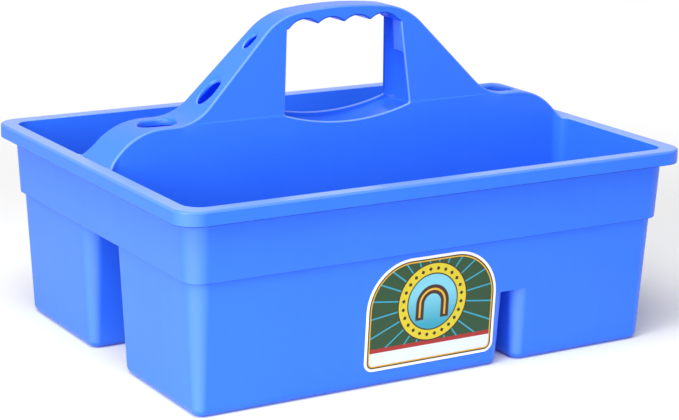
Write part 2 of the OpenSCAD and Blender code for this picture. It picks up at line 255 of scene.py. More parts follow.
def make_piece(name, sheets, caps=(), material=moulding, slot="moulding", nodes=None):
    """One object from sheets of points and flat caps. Neighbouring points make quads, points that coincide
    are joined, and each face corner keeps its own sheet's normal, so pieces that meet smoothly also shade
    smoothly. The painted light of joined points is their strongest painted highlight and their deepest painted
    shade, added up."""
    sizes = np.cumsum([0] + [sheet.shape[0] * sheet.shape[1] for sheet in sheets])
    points = np.concatenate([sheet.reshape(-1, 3) for sheet in sheets])
    normals = np.concatenate([facing(sheet).reshape(-1, 3) for sheet in sheets])
    painted_amounts = np.concatenate([sharpness(sheet, facing(sheet)).ravel() for sheet in sheets])
    quads = []
    for first_point, sheet in zip(sizes, sheets):
        index = first_point + np.arange(sheet.shape[0] * sheet.shape[1]).reshape(sheet.shape[:2])
        around = np.stack([index[:-1, :-1], index[:-1, 1:], index[1:, 1:], index[1:, :-1]], -1)
        quads.append(around.reshape(-1, 4))
    quads = np.concatenate(quads)
    cap_points = [np.asarray(cap) for cap in caps]
    everything = np.concatenate([points, *cap_points])
    cells = np.round(everything / join_tolerance)
    _, kept, joined = np.unique(cells, axis=0, return_index=True, return_inverse=True)
    joined = joined.ravel()
    corners = joined[quads]
    doubled = corners == np.roll(corners, -1, axis=1)
    whole = doubled.sum(1) == 0
    folded = doubled.sum(1) == 1
    faces = corners[whole].tolist() + corners[folded][~doubled[folded]].reshape(-1, 3).tolist()
    shades = [normals[quads[whole]].reshape(-1, 3), normals[quads[folded]][~doubled[folded]]]
    cap_start = len(points)
    for cap in cap_points:
        faces.append(joined[cap_start:cap_start + len(cap)].tolist())
        cap_normal = np.cross(cap, np.roll(cap, -1, axis=0)).sum(0)
        shades.append(np.tile(cap_normal / np.linalg.norm(cap_normal), (len(cap), 1)))
        cap_start += len(cap)
    mesh = bpy.data.meshes.new(name)
    mesh.from_pydata(everything[kept].tolist(), [], faces)
    mesh.shade_smooth()
    # The bend attribute holds the painted light: a painted highlight above zero and a painted shade below.
    most_highlight, most_shade = np.zeros((2, len(kept)))
    np.maximum.at(most_highlight, joined[:len(points)], painted_amounts)
    np.minimum.at(most_shade, joined[:len(points)], painted_amounts)
    mesh.attributes.new("bend", "FLOAT", "POINT").data.foreach_set("value", most_highlight + most_shade)
    mesh.normals_split_custom_set(np.concatenate(shades).tolist())
    mesh.materials.append(material)
    piece = bpy.data.objects.new(name, mesh)
    scene.collection.objects.link(piece)
    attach(piece, "root")
    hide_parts(*(nodes or [name]))


def edge_roll(edge, wall_normal, top_normal, radius, count=roll_steps):
    """Round between a wall and a top that meet along an edge: the centre lies one radius inside both faces,
    and the arc turns from the wall's normal to the top's. Rows go round the arc and columns along the edge."""
    cosine = (wall_normal * top_normal).sum(-1, keepdims=True)
    radius = np.broadcast_to(np.reshape(radius, (-1, 1)), cosine.shape)
    centre = edge - radius / (1 + cosine) * (wall_normal + top_normal)
    angle = np.arccos(cosine)
    share = np.linspace(0, 1, count)[:, None, None]
    turned = np.sin((1 - share) * angle) * wall_normal + np.sin(share * angle) * top_normal
    return centre + radius * (turned / np.sin(angle))


# In the profile the first number is how far a point lies in from the rim's outer edge.
lip = edge_roll(np.array([[rim_reach + wall, 0, rim_z]]), np.array([[1, 0, draft]]) / np.hypot(1, draft),
                np.array([[0.0, 0, 1]]), edge_r)[::-1, 0][:, [0, 2]]
flange_z = rim_z - wall
wall_inset = rim_reach + draft * (wall + crook_r)
rim_profile = np.concatenate([
    arc(wall_inset - crook_r, flange_z - crook_r, crook_r, 0, 90, round_steps),
    arc(wall + crook_r, flange_z - crook_r, crook_r, 90, 180, round_steps),
    arc(wall - skirt_r, skirt_z + skirt_r, skirt_r, 0, -90, round_steps),
    arc(skirt_r, skirt_z + skirt_r, skirt_r, -90, -180, round_steps),
    arc(brim_r, rim_z - brim_r, brim_r, 180, 90, roll_steps),
    lip])
rim_inset = rim_profile[:, :1]
tub_axis = rim_reach + tub_corner + draft * rim_z
corner_axis = rim_corner + np.clip((rim_inset - wall) / (rim_reach - wall), 0, 1) * (tub_axis - rim_corner)
rim_grid = closed(ring(rim_inset - rim_half, rim_half - rim_inset, corner_axis - rim_inset, rim_profile[:, 1]))
make_piece("rim", [rim_grid, between(rim_grid[-1], rim_grid[0])])

# Shelves
# The top of the hollow divider between the rim and the handle. At its end it turns down to the rim and
# flares there, its long edges are rounded, and a tool hole with a soft lip is drawn straight down through it.
shelf_low, shelf_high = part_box("right_shelf")
divider_low, divider_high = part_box("divider_front")
grip_low, grip_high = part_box("grip")
shelf_z = divider_high.z
step_z = divider_low.z
handle_z = grip_high.z
rim_inner_x = shelf_high.x
slope_foot_x = shelf_low.x
handle_draft = 0.11
brow_half = 0.0635
crown_r = 0.400
shoulder_r = 0.062
slope_foot_r = 0.050
shelf_end_r = 0.060
shelf_end_angle = 45.0
toe = 0.0016
strip_edge_r = 0.0020
nook_r = 0.013
shelf_hole_x = slope_foot_x + 0.027
shelf_hole_r = 0.0143
shelf_hole_run = 0.0035
shelf_hole_lip = 0.0024
shelf_hole_depth = 0.0036
handle_foot_x = slope_foot_x + 0.0062
straight_x = rim_inner_x - nook_r
divider_base = -divider_low.y
crease, crease_rise = 0.0005, 0.001
spine_steps, beside_steps, beyond_steps = 60, 41, 21
nook_rounds = 12
flat_rings, lip_rings, wall_rings = 9, 7, 4
shelf_cells = np.linspace(-1, 1, 17)


def divider_half(z):
    """Half thickness of the divider at a height, from its drafts below and above the shelf line and the fine
    crease on that line."""
    above = np.maximum(z - shelf_z, 0)
    below = divider_base - draft * (np.minimum(z, shelf_z) - step_z)
    return below - handle_draft * above - crease * np.minimum(above / crease_rise, 1)


def band_inner(z):
    """Half length of the space inside the collar at a height."""
    return rim_inner_x - draft * (rim_z - z)


# Right half of the handle's side view: crown, shoulder, slope, shelf, shelf end and toe as tangent arcs.
slope = np.arctan2(handle_z - shelf_z, slope_foot_x - brow_half)
slope_reach = slope_foot_x * np.sin(slope) + shelf_z * np.cos(slope)
crown_z = handle_z - crown_r
shoulder_drop = slope_reach - shoulder_r - np.cos(slope) * crown_z
shoulder_run = np.sqrt((crown_r - shoulder_r) ** 2 - shoulder_drop ** 2)
shoulder_x = shoulder_drop * np.sin(slope) - shoulder_run * np.cos(slope)
shoulder_z = crown_z + shoulder_drop * np.cos(slope) + shoulder_run * np.sin(slope)
crown_turn = np.degrees(np.arctan2(shoulder_x, shoulder_z - crown_z))
slope_turn = np.degrees(slope)
foot_z = shelf_z + slope_foot_r
foot_x = (slope_reach + slope_foot_r - foot_z * np.cos(slope)) / np.sin(slope)
end_slope = np.radians(shelf_end_angle)
end_reach = (rim_inner_x - toe) * np.sin(end_slope) + rim_z * np.cos(end_slope)
end_arc_z = shelf_z - shelf_end_r
end_arc_x = (end_reach - shelf_end_r - end_arc_z * np.cos(end_slope)) / np.sin(end_slope)
toe_r = toe / np.tan(end_slope / 2)
spine_arcs = ((0, crown_z, crown_r, 90, 90 - crown_turn),
              (shoulder_x, shoulder_z, shoulder_r, 90 - crown_turn, 90 - slope_turn),
              (foot_x, foot_z, slope_foot_r, 270 - slope_turn, 270),
              (end_arc_x, end_arc_z, shelf_end_r, 90, 90 - shelf_end_angle),
              (rim_inner_x, rim_z + toe_r, toe_r, 270 - shelf_end_angle, 270))
spine_points = np.concatenate([arc(*numbers, spine_steps) for numbers in spine_arcs])
spine_lean = np.concatenate([np.linspace(*((90 if start <= 90 else 270) - np.array([start, end])), spine_steps)
                             for *_, start, end in spine_arcs])


def spine_z(x):
    """Height of the handle's side view at a distance from the middle."""
    return np.interp(np.abs(x), *spine_points.T)


def spine_normal(x):
    """Upward normal of the side view at a distance from the middle."""
    lean = np.radians(np.interp(np.abs(x), spine_points[:, 0], spine_lean))
    return np.stack([np.sign(x) * np.sin(lean), np.zeros_like(lean), np.cos(lean)], -1)


def unit(*parts):
    """Unit vectors from their three parts."""
    vector = np.stack(np.broadcast_arrays(*parts), -1).astype(float)
    return vector / np.linalg.norm(vector, axis=-1, keepdims=True)


def spine_roll(x):
    """The rounded front edge of the handle's top at distances from the middle."""
    z = spine_z(x)
    lean = np.where(z < shelf_z, draft, handle_draft)
    edge = np.stack([x, -divider_half(z), z], -1)
    return edge_roll(edge, unit(0, -1, lean), spine_normal(x), strip_edge_r)


def nook_roll(turn):
    """The same edge round the corner where the divider's wall turns into the end wall, by the angle turned.
    The corner stands upright and widens with the draft, so its radius depends on the height that it sets,
    and the two are brought together in a few rounds."""
    radius = nook_r
    for _ in range(nook_rounds):
        x = straight_x + radius * np.sin(turn)
        radius = nook_r + draft * (spine_z(x) - rim_z)
    z = spine_z(x)
    y = -divider_half(rim_z) - nook_r + radius * np.cos(turn)
    rounding = np.interp(turn, [0, np.pi / 2], [strip_edge_r, edge_r])
    wall_normal = unit(-np.sin(turn), -np.cos(turn), draft)
    return edge_roll(np.stack([x, y, z], -1), wall_normal, spine_normal(x), rounding)


def over_top(front_roll, cells):
    """A strip of the top: the front roll, the flat between the rolls, and the rear roll that mirrors it."""
    flat = front_roll[-1] * [1, 0, 1] + cells[1:-1, None, None] * np.abs(front_roll[-1]) * [0, 1, 0]
    return np.concatenate([front_roll, flat, front_roll[::-1] * [1, -1, 1]])


def around_hole(front_roll, cells, centre, run, radius, hole_lip, depth):
    """A strip with a tool hole: rings shrink from the strip's outline to the hole, roll over its lip and go
    down. The hole is round in plan, with a straight run in the middle, and each ring follows the side view's
    height."""
    front = front_roll[-1]
    right = front[-1] * [1, 0, 1] + cells[1:-1, None] * np.abs(front[-1]) * [0, 1, 0]
    left = front[0] * [1, 0, 1] + cells[1:-1, None] * np.abs(front[0]) * [0, 1, 0]
    outline = np.concatenate([front, right, front[::-1] * [1, -1, 1], left[::-1], front[:1]])
    along = outline[:, 0] - centre
    spread = np.hypot(along, outline[:, 1])
    cosine, sine = along / spread, outline[:, 1] / spread
    straight = radius / np.maximum(np.abs(sine), 1e-9)
    capped = run * np.abs(cosine) + np.sqrt(radius ** 2 - (run * sine) ** 2)
    reach = np.where(straight * np.abs(cosine) <= run, straight, capped)
    hole = np.stack([centre + reach * cosine, reach * sine], -1)
    hub = np.stack([centre + np.clip(reach * cosine, -run, run), np.zeros_like(reach)], -1)
    outward = (hole - hub) / radius
    share = np.linspace(0, 1, flat_rings)[:, None, None]
    flat = outline[:, :2] + share * (hole + hole_lip * outward - outline[:, :2])
    turn = np.radians(np.linspace(0, 90, lip_rings + 1))[1:, None, None]
    rolled = hole + outward * hole_lip * (1 - np.sin(turn))
    plan = np.concatenate([flat, rolled, np.repeat(hole[None], wall_rings, 0)])
    deeper = np.linspace(0, 1, wall_rings + 1)[1:, None]
    sink = np.concatenate([(1 - share[:, 0]) * (spine_z(outline[:, 0]) - outline[:, 2]),
                           np.broadcast_to(hole_lip * (1 - np.cos(turn[:, 0])), (lip_rings, len(hole))),
                           np.broadcast_to(hole_lip + depth * deeper, (wall_rings, len(hole)))])
    return np.concatenate([plan, (spine_z(plan[..., 0]) - sink)[..., None]], -1)


def front_and_rear(sheet):
    """A sheet at the front of the divider or the handle, and its mirror at the rear."""
    return [sheet, sheet[::-1] * [1, -1, 1]]


nook_turns = np.radians(np.linspace(0, 90, turn_steps))
nook = nook_roll(nook_turns)
hole_end_x = 2 * shelf_hole_x - handle_foot_x
beside = spine_roll(np.linspace(handle_foot_x, hole_end_x, beside_steps))
beyond = spine_roll(np.linspace(hole_end_x, straight_x, beyond_steps))
shelf_sheets = [*front_and_rear(beside),
                around_hole(beside, shelf_cells, shelf_hole_x, shelf_hole_run, shelf_hole_r, shelf_hole_lip,
                            shelf_hole_depth),
                over_top(np.concatenate([beyond, nook[:, 1:]], 1), shelf_cells)]
make_piece("right_shelf", shelf_sheets)
make_piece("left_shelf", [mirrored(sheet, 0) for sheet in shelf_sheets])
shelf_edge = np.concatenate([beside[0], beyond[0, 1:]])

# Handle
# Two hollow posts rise from the divider to a solid grip bar with four finger rests, round a window for the
# hand. The jambs are scooped out for the knuckles, with a flat pad left at the front of each near the top.
window_z = grip_low.z
post_foot_x = slope_foot_x - 0.0905
head_x = slope_foot_x - (window_z - shelf_z) / np.tan(slope) - 0.0205
sill_dip = 0.0105
finger_count = 4
finger_pitch = 0.028
finger_r = 0.021
finger_rise = 0.008
finger_blend = 0.0004
finger_keep, finger_fall = 0.9, 10
window_edge_r = 0.0016
sill_edge_r = 0.0015
channel_edge = 0.0014
scoop_depth = 0.0130
sill_depth = 0.0120
sill_end_depth = 0.0040
pad_height = 0.031
pad_soft = 0.0008
corner_soft = 5
hole_land = 0.0012
# Each tool hole in the slope: its distance from the middle, straight run, radius, lip and depth.
slope_holes = ((slope_foot_x - 0.0255, 0.0012, 0.0094, 0.0030, 0.0022),
               (slope_foot_x - 0.0675, 0.0012, 0.0052, 0.0022, 0.0020))
sill_count, jamb_count, head_count = 120, 120, 160
channel_rows, bead_rows, face_rows = 46, 6, 9
easing_rounds = 2
handle_cells = np.linspace(-1, 1, 15)


def finger_line(x):
    """Underside of the grip: the highest of the finger circles and the flat beside them, with the cusps just
    eased. Beyond most of its radius a circle falls away steeply, so that it lifts nothing there."""
    middle = finger_pitch * (np.arange(finger_count) - (finger_count - 1) / 2)
    gap = np.abs(x[:, None] - middle)
    circle = window_z + finger_rise - finger_r + np.sqrt(np.maximum(finger_r ** 2 - gap ** 2, 0))
    circle -= finger_fall * np.maximum(gap - finger_keep * finger_r, 0)
    lines = np.concatenate([circle, np.full((len(x), 1), window_z)], 1)
    return finger_blend * np.log(np.exp((lines - window_z) / finger_blend).sum(1)) + window_z


def step_up(value, width):
    """Smooth step from 0 to 1 about zero, over a width to either side."""
    share = np.clip(0.5 + 0.5 * value / width, 0, 1)
    return share * share * (3 - 2 * share)


sill_r = (post_foot_x ** 2 + sill_dip ** 2) / (2 * sill_dip)
sill_x = np.linspace(-post_foot_x, post_foot_x, sill_count, endpoint=False)
jamb_share = np.linspace(0, 1, jamb_count, endpoint=False)
jamb_x = post_foot_x + jamb_share * (head_x - post_foot_x)
jamb_z = shelf_z + jamb_share * (window_z - shelf_z)
head_line = np.linspace(head_x, -head_x, head_count, endpoint=False)
window = np.concatenate([
    np.stack([sill_x, shelf_z - sill_dip + sill_r - np.sqrt(sill_r ** 2 - sill_x ** 2)], -1),
    np.stack([jamb_x, jamb_z], -1),
    np.stack([head_line, finger_line(head_line)], -1),
    np.stack([jamb_share * (head_x - post_foot_x) - head_x, window_z - jamb_share * (window_z - shelf_z)], -1)])
for _ in range(easing_rounds):
    window = (np.roll(window, 1, 0) + 2 * window + np.roll(window, -1, 0)) / 4
window_path = np.roll(window, -1, 0) - np.roll(window, 1, 0)
inward = unit(-window_path[:, 1], 0, window_path[:, 0])
window_lean = np.where(window[:, 1] < shelf_z, draft, handle_draft)
window_edge = np.stack([window[:, 0], -divider_half(window[:, 1]), window[:, 1]], -1)
window_round = np.where(np.arange(len(window)) < sill_count, sill_edge_r, window_edge_r)
window_roll = closed(edge_roll(window_edge, unit(0, -1, window_lean), inward, window_round, round_steps))

# The lining between the rolls turns over a round edge into a channel and out again. The channel is deep in
# the jambs and the sill, and each runs on past the corner to the other's floor.
corner_right = sill_count
head_right = corner_right + jamb_count
head_left = head_right + head_count
order = np.arange(window_roll.shape[1])
lining_half = np.abs(window_roll[-1, :, 1])
channel_half = lining_half - channel_edge
channel_turn = np.radians(np.linspace(0, 180, channel_rows))[:, None]
bead_turn = np.radians(np.linspace(0, 90, bead_rows))[1:-1, None]
bead_out = lining_half - channel_edge * np.sin(bead_turn)
across = np.concatenate([-bead_out, -channel_half * np.cos(channel_turn), bead_out[::-1]])
bead_sink = channel_edge * (1 - np.cos(bead_turn))
bead_cut = np.concatenate([bead_sink, np.full_like(channel_turn, channel_edge), bead_sink[::-1]])
off_middle = np.clip(np.abs(across / channel_half), 0, 1)
jamb_cut = bead_cut + scoop_depth * np.sqrt(1 - off_middle ** 2)
sill_cut = (1 - off_middle ** 3) ** (1 / 3)
from_corner = np.minimum(np.abs(order - corner_right), np.minimum(order, len(order) - 1 - order))
on_jamb = ((order >= corner_right) & (order <= head_right)) | (order >= head_left) | (order == 0)
past_corner = 1 - step_up(from_corner - corner_soft, corner_soft)
jamb_weight = np.where(order < corner_right, past_corner, on_jamb)
sill_weight = np.where(order <= corner_right, 1, past_corner)
lining_x, lining_z = window_roll[-1, :, 0], window_roll[-1, :, 2]
pad = step_up(lining_z - (window_z - pad_height), pad_soft) * step_up(-across, pad_soft)
sill_floor = sill_end_depth + (sill_depth - sill_end_depth) * (1 - (lining_x / post_foot_x) ** 2)
channel = np.stack(np.broadcast_arrays(
    lining_x + np.sign(lining_x) * jamb_weight * jamb_cut * (1 - pad), across,
    lining_z - sill_weight * (bead_cut + sill_cut * np.maximum(sill_floor, 0))), -1)
lining = np.concatenate([window_roll, channel, window_roll[::-1] * [1, -1, 1]])

# The arch is a tube round the window: stations run over the top from the left foot to the right one.
head_top_x = np.interp(-window_z, -spine_points[:, 1], spine_points[:, 0])
stations = np.concatenate([np.linspace(-handle_foot_x, -head_top_x, jamb_count + 1),
                           np.linspace(-head_top_x, head_top_x, head_count + 1)[1:],
                           np.linspace(head_top_x, handle_foot_x, jamb_count + 1)[1:]])
arch_roll = spine_roll(stations)
arch_window = window_roll[:, :corner_right - 1:-1]
arch_face = between(arch_window[0], arch_roll[0], face_rows)
arch_face[1:-1, :, 1] = -divider_half(arch_face[1:-1, :, 2])
grip_range = slice(jamb_count, jamb_count + head_count + 1)
left_range, right_range = slice(0, jamb_count + 1), slice(jamb_count + head_count, None)


def holed_top(roll, x, side):
    """Top of a post from its foot to the grip, with its tool holes between plain strips. Each hole's strip
    ends a little past its lip or at the grip, and a strip without length is left out."""
    marks = [0]
    for centre, run, radius, hole_lip, _ in slope_holes:
        reach = run + radius + hole_lip + hole_land
        marks += [int(np.abs(x - side * (centre + way * reach)).argmin()) for way in (-1, 1)]
    marks = sorted(marks) + [len(x) - 1]
    sheets = []
    for number, (low, high) in enumerate(zip(marks, marks[1:])):
        part = roll[:, low:high + 1]
        if high == low:
            continue
        if number % 2:
            middle = x[low:high + 1].mean()
            centre, *hole = min(slope_holes, key=lambda numbers: abs(side * numbers[0] - middle))
            sheets += [*front_and_rear(part), around_hole(part, handle_cells, side * centre, *hole)]
        else:
            sheets.append(over_top(part, handle_cells))
    return sheets


for name, span, side in (("left_post", left_range, -1), ("right_post", right_range, 1)):
    jamb = slice(head_left, None) if side < 0 else slice(corner_right, head_right + 1)
    make_piece(name, [*holed_top(arch_roll[:, span], stations[span], side), *front_and_rear(arch_face[:, span]),
                      lining[:, jamb]])
make_piece("grip", [over_top(arch_roll[:, grip_range], handle_cells), *front_and_rear(arch_face[:, grip_range]),
                    lining[:, head_right:head_left + 1]])
make_piece("sill", [lining[:, :corner_right + 1]])

# Divider walls
# Two tall leaning walls with a hollow between them that opens into the slot under the box. Each runs up
# to the shelf line, where a fine crease marks the change of draft into the handle.
divider_rows = 16
top_line = np.concatenate([shelf_edge[:0:-1] * [-1, 1, 1], arch_face[::-1, 0], window_roll[0, :corner_right],
                           arch_face[:, -1], shelf_edge[1:]])
up_wall = np.linspace(0, 1, divider_rows)[:, None]
divider_z = step_z + up_wall * (top_line[:, 2] - step_z)
taper = straight_x / top_line[-1, 0]
divider_x = top_line[:, 0] * (taper + up_wall * (1 - taper))
divider_face = np.stack([divider_x, -divider_half(divider_z), divider_z], -1)
divider_face[-1] = top_line
divider_back = np.stack([divider_x, wall - divider_half(divider_z), divider_z], -1)
slab = [divider_face, divider_back[:, ::-1], between(divider_face[-1], divider_back[-1]),
        between(divider_back[0], divider_face[0]),
        between(divider_back[:, 0], divider_face[:, 0]).transpose(1, 0, 2),
        between(divider_face[:, -1], divider_back[:, -1]).transpose(1, 0, 2)]
make_piece("divider_front", slab)
make_piece("divider_rear", [mirrored(sheet, 1) for sheet in slab])

# Collar
# The upper band of the tub wall, with the step at its foot where the wall draws in to the two bins.
# Its inner corners against the divider are generous rounds that run up into the flare of the shelves.
band_foot = rim_half - rim_reach - draft * rim_z
step_in = 0.0034
step_r = 0.0005
ledge_r = 0.0015
slot_foot = divider_base - wall + draft * step_z
slot_corner = 0.009
foot_r = 0.008
bay_rows, band_rows = 14, 9
ledge_share = 0.06
per_corner = turn_steps + run_steps
bay_columns = 4 * turn_steps + 3 * run_steps


def bay_ring(z, inset):
    """Inner outline of the front compartment at each height, set in from the collar's inner face by a
    distance, from the left nook round the front to the right nook. The divider's own wall is left out."""
    z, inset = np.asarray(z, float), np.asarray(inset, float)
    half = band_foot + draft * z[:, None] - wall - inset[:, None]
    back = -divider_half(z)
    front_r = tub_corner + draft * z - wall
    back_r = nook_r + draft * (z - rim_z) + inset / step_in * (slot_corner - wall - nook_r + draft * rim_z)
    radii = np.stack([front_r, front_r, back_r, back_r], -1)
    grid = ring(-half, np.stack([half[:, 0], back], -1), radii, z)
    return np.roll(grid, -3 * per_corner, axis=1)[:, :bay_columns]


rim_foot_z = rim_profile[-1, 1]
bay_top = bay_ring([rim_foot_z], [0.0])[0]
bay_top[:turn_steps] = nook[0] * [-1, 1, 1]
bay_top[-turn_steps:] = nook[0, ::-1]
up_bay = np.linspace(1, ledge_share, bay_rows)[:, None, None]
levels = step_z + up_bay * (bay_top[:, 2:] - step_z)
lowest, highest = bay_ring([step_z, rim_z], [0.0, 0.0])
wall_line = lowest + (levels - step_z) / (rim_z - step_z) * (highest - lowest)
top_miss = bay_top - (lowest + (bay_top[:, 2:] - step_z) / (rim_z - step_z) * (highest - lowest))
bay_wall = wall_line + up_bay * top_miss
ledge_z = step_z + wall
ledge_profile = np.concatenate([arc(ledge_r, ledge_z + ledge_r, ledge_r, 180, 270, round_steps),
                                arc(step_in - step_r, ledge_z - step_r, step_r, 90, 0, round_steps),
                                [[step_in, step_z]]])
bay_ledge = bay_ring(ledge_profile[:, 1], ledge_profile[:, 0])
bay_sheets = [bay_wall, between(bay_wall[-1], bay_ledge[0]), bay_ledge]
band_rise = np.linspace(step_z + step_r, rim_profile[0, 1], band_rows)
band_profile = np.concatenate([arc(step_r, step_z + step_r, step_r, 270, 180, round_steps),
                               np.stack([0 * band_rise, band_rise], -1)[1:]])
band_half = band_foot + draft * band_profile[:, 1:] - band_profile[:, :1]
band_corner = tub_corner + draft * band_profile[:, 1:] - band_profile[:, :1]
band = closed(ring(-band_half, band_half, band_corner, band_profile[:, 1]))


def bin_ring(low, high, radii, z, inset):
    """Outline of a bin at each height: its floor plan grown by the draft and set in by a distance, with its
    corners."""
    z, inset = np.asarray(z, float)[:, None], np.asarray(inset, float)[:, None]
    grow = draft * np.maximum(z, foot_r) - inset
    return ring(low - grow, high + grow, radii + grow, z[:, 0])


bin_foot = band_foot - step_in
front_low, front_high = -bin_foot, np.array([bin_foot[0], -slot_foot])
front_radii = np.array([tub_corner, tub_corner, slot_corner, slot_corner])
front_mouth = bin_ring(front_low, front_high, front_radii, [step_z], [0.0])[0]
front_mouth = np.roll(front_mouth, -3 * per_corner, axis=0)[:bay_columns]
hollow_x, hollow_y = band_inner(step_z), divider_base - wall
hollow_end = np.array([[hollow_x, -hollow_y, step_z], [hollow_x, hollow_y, step_z]])
plate_hole = np.concatenate([front_mouth, hollow_end, front_mouth[::-1] * [1, -1, 1],
                             hollow_end[::-1] * [-1, 1, 1]])
plate_points = np.concatenate([band[0, :-1], plate_hole])
plate_faces = tessellate_polygon([band[0, :-1].tolist(), plate_hole.tolist()])
plate = [plate_points[list(face)] for face in plate_faces]
plate = [face if np.cross(face[1] - face[0], face[2] - face[0])[2] < 0 else face[::-1] for face in plate]
hollow_z = np.linspace(step_z, rim_z, 5)[:, None]
hollow_cells = np.linspace(-1, 1, 5)
end_wall = np.stack(np.broadcast_arrays(
    band_inner(hollow_z), hollow_cells * (divider_half(hollow_z) - wall), hollow_z), -1)
stub_cells = np.linspace(0, 1, 4)
stub = np.stack(np.broadcast_arrays(
    straight_x + stub_cells * (band_inner(hollow_z) - straight_x), wall - divider_half(hollow_z), hollow_z), -1)
collar_sheets = [band, end_wall[:, ::-1], mirrored(end_wall[:, ::-1], 0)]
collar_sheets += [*bay_sheets, *[mirrored(sheet, 1) for sheet in bay_sheets]]
stubs = [stub[:, ::-1], mirrored(stub[:, ::-1], 1)]
collar_sheets += [*stubs, *[mirrored(sheet, 0) for sheet in stubs]]
make_piece("collar", collar_sheets, plate)

# Bins
# Deep drafted tubs with rounded corners and bottom edges, standing either side of the slot. The front one
# is split below into two pockets by a double wall, whose hollow shows as a slit in the front.
partition_x = 0.081
partition_gap = 0.010
partition_corner = 0.009
cap_low, cap_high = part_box("partition_cap")
pocket_z = cap_low.z
gap_half = partition_gap / 2 + draft * pocket_z
foot_turn = np.radians(np.linspace(-90, 0, 9))
wall_rows = 8


def tub_sheets(low, high, radii, bottom, top):
    """Outer wall, rim face and inner wall of a tub between two heights, and its two floors if it has them.
    The bottom edge is a quarter round outside, and a smaller one of the same centre inside."""
    rows = np.linspace(max(bottom, foot_r), top, wall_rows)
    outer, inner = np.stack([0 * rows, rows], -1), np.stack([0 * rows + wall, rows], -1)
    if bottom < foot_r:
        turned = np.stack([1 - np.cos(foot_turn), 1 + np.sin(foot_turn)], -1)
        outer = np.concatenate([foot_r * turned[:-1], outer]) if top > foot_r else foot_r * turned
        bend = (foot_r - wall) * turned + wall
        inner = np.concatenate([bend[:-1], inner]) if top > foot_r else bend
    outside = closed(bin_ring(low, high, radii, outer[:, 1], outer[:, 0]))
    inside = closed(bin_ring(low, high, radii, inner[::-1, 1], inner[::-1, 0]))
    sheets = [outside, between(outside[-1], inside[0]), inside]
    if bottom < foot_r:
        return sheets, [outside[0, :0:-1], inside[-1, :-1]]
    return sheets + [between(inside[-1], outside[0])], []


left_high = np.array([partition_x - gap_half, -slot_foot])
right_low = np.array([partition_x + gap_half, -bin_foot[1]])
left_radii = np.array([tub_corner, partition_corner, partition_corner, slot_corner])
right_radii = np.array([partition_corner, tub_corner, slot_corner, partition_corner])
rear_low, rear_high = np.array([-bin_foot[0], slot_foot]), bin_foot
rear_radii = np.array([slot_corner, slot_corner, tub_corner, tub_corner])
make_piece("front_bin", *tub_sheets(front_low, front_high, front_radii, pocket_z, step_z))
make_piece("left_pocket", *tub_sheets(front_low, left_high, left_radii, 0.0, pocket_z))
make_piece("right_pocket", *tub_sheets(right_low, front_high, right_radii, 0.0, pocket_z))
make_piece("rear_bin", *tub_sheets(rear_low, rear_high, rear_radii, foot_r, step_z),
           nodes=["rear_left", "rear_right"])
make_piece("rear_floor", *tub_sheets(rear_low, rear_high, rear_radii, 0.0, foot_r))

# Partition cap
# The roof over the slit, joining the two pockets. Its long edges are rounded, and it widens at both ends
# to follow the pockets' corners.
cap_r = 0.0022
cap_corner = partition_corner + draft * pocket_z - wall
cap_bend = cap_corner * (1 - np.cos(np.radians(np.linspace(0, 90, 8))))
cap_y = np.concatenate([cap_low.y + cap_bend, cap_high.y - cap_bend[::-1]])
from_end = np.minimum(np.minimum(cap_y - cap_low.y, cap_high.y - cap_y), cap_corner)
cap_half = partition_gap / 2 + wall + cap_corner - np.sqrt(cap_corner ** 2 - (cap_corner - from_end) ** 2)
cap_edge = arc(0, cap_high.z - cap_r, cap_r, 180, 90, 6)
cap_section = np.concatenate([[[0, cap_low.z]], cap_edge + [cap_r, 0]])
left_side = np.stack(np.broadcast_arrays(
    partition_x - cap_half[:, None] + cap_section[:, 0], cap_y[:, None], cap_section[:, 1]), -1)
right_side = (left_side * [-1, 1, 1] + [2 * partition_x, 0, 0])[:, ::-1]
cap_top = np.concatenate([left_side, right_side], 1)
make_piece("partition_cap", [cap_top, between(right_side[:, -1], left_side[:, 0]).transpose(1, 0, 2)],
           [cap_top[0, ::-1], cap_top[-1]])

# Label
# A printed self-adhesive film on the front of the box, die-cut with an arched top and a white margin.
# The print is a plain stable crest, a horseshoe in a studded ring over a blank panel.
label_low, label_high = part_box("label")
label_foot_r, label_arch_r = 0.009, 0.045
label_thick = 0.0004
label_lift = 0.00005
label_half = np.array([label_high.x - label_low.x, (label_high.z - label_low.z) * np.hypot(1, draft)]) / 2
label_mid = np.array([(label_low.x + label_high.x) / 2, 0, (label_low.z + label_high.z) / 2])
label_mid[1] = -(bin_foot[1] + draft * label_mid[2])
lean_up = np.array([0, -draft, 1]) / np.hypot(1, draft)
lean_out = np.array([0, -1, -draft]) / np.hypot(1, draft)


def on_front(plan, height):
    """Points of a flat outline set on the leaning front wall, a height above it."""
    return label_mid + plan[..., :1] * [1, 0, 0] + plan[..., 1:2] * lean_up + height * lean_out


label_inset = np.array([0.0, 0.0, 0.0001])
label_height = label_lift + np.array([0.0, 0.7, 1.0]) * label_thick
label_rings = closed(ring(label_inset[:, None] - label_half, label_half - label_inset[:, None],
                          [label_foot_r, label_foot_r, label_arch_r, label_arch_r], label_height))
label_rows = on_front(label_rings, label_rings[..., 2:])
film, film_tree, film_shader, on_film = new_material("printed_film")
film_shader.inputs["Roughness"].default_value = 0.38
film_shader.inputs["Specular IOR Level"].default_value = 0.3


def calc(operation, *values):
    """A Math node on sockets or numbers, by its operation, as a socket."""
    node = add_node(film_tree, "ShaderNodeMath", operation=operation)
    for value, socket in zip(values, node.inputs):
        if isinstance(value, (int, float)):
            socket.default_value = value
        else:
            film_tree.links.new(value, socket)
    return node.outputs[0]


def within(distance, reach, soft=0.12):
    """A mask, 1 where a distance in millimetres is less than a reach, with a soft printed edge."""
    mask = calc("MULTIPLY_ADD", calc("SUBTRACT", reach, distance), 1 / soft, 0.5)
    mask.node.use_clamp = True
    return mask


